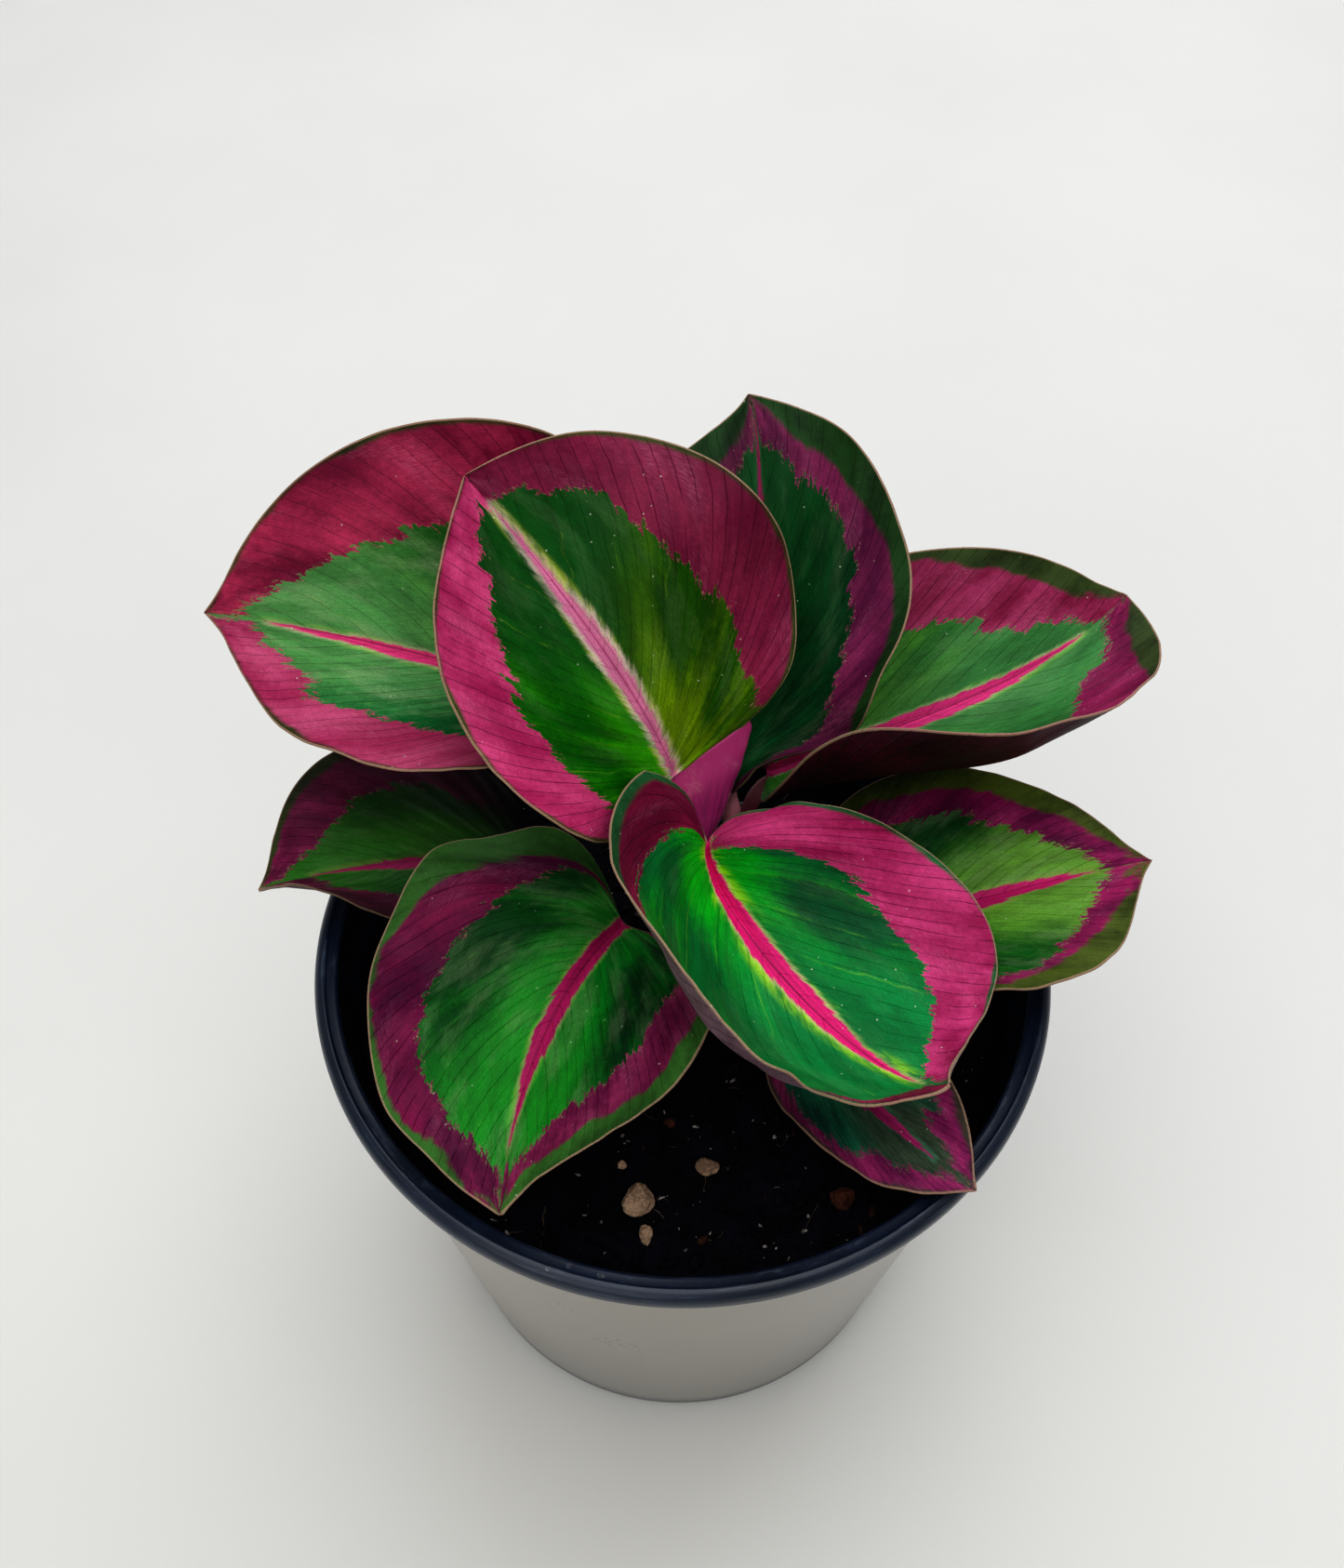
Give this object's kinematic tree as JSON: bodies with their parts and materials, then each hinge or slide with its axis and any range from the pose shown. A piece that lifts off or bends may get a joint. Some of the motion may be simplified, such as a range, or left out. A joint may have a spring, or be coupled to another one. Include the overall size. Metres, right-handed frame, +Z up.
{
  "type": "potted calathea",
  "caption": "Small potted calathea: rose and green painted leaves on short stalks, in dark mix in a round tapered nursery pot with a rolled rim.",
  "frame": {"origin": "middle of the pot's underside, on the surface it stands on", "axes": "+Z up out of the pot, -Y towards the front where the mix is bare, +X to the right"},
  "size_m": [0.1538, 0.1326, 0.1708],
  "materials": {
    "pot_plastic": "satin",
    "mix": "matte",
    "root_stock": "matte",
    "leaf_blade": "satin",
    "leaf_stalk": "satin",
    "pumice": "matte",
    "bark": "matte"
  },
  "bodies": {
    "root": {"pot": "pot_plastic", "soil": "mix", "crown": "root_stock", "blade_left_back": "leaf_blade", "blade_centre": "leaf_blade", "blade_back_right": "leaf_blade", "blade_right_upper": "leaf_blade", "blade_right_lower": "leaf_blade", "blade_front_right": "leaf_blade", "blade_front_left": "leaf_blade", "blade_left_low": "leaf_blade", "blade_front_small": "leaf_blade", "stalk_left_back": "leaf_stalk", "stalk_centre": "leaf_stalk", "stalk_back_right": "leaf_stalk", "stalk_right_upper": "leaf_stalk", "stalk_right_lower": "leaf_stalk", "stalk_front_right": "leaf_stalk", "stalk_front_left": "leaf_stalk", "stalk_left_low": "leaf_stalk", "stalk_front_small": "leaf_stalk", "pumice_large": "pumice", "pumice_small": "pumice", "pumice_narrow": "pumice", "bark_chip": "bark", "grit_front": "bark", "grit_left": "pumice"}
  },
  "joints": []
}
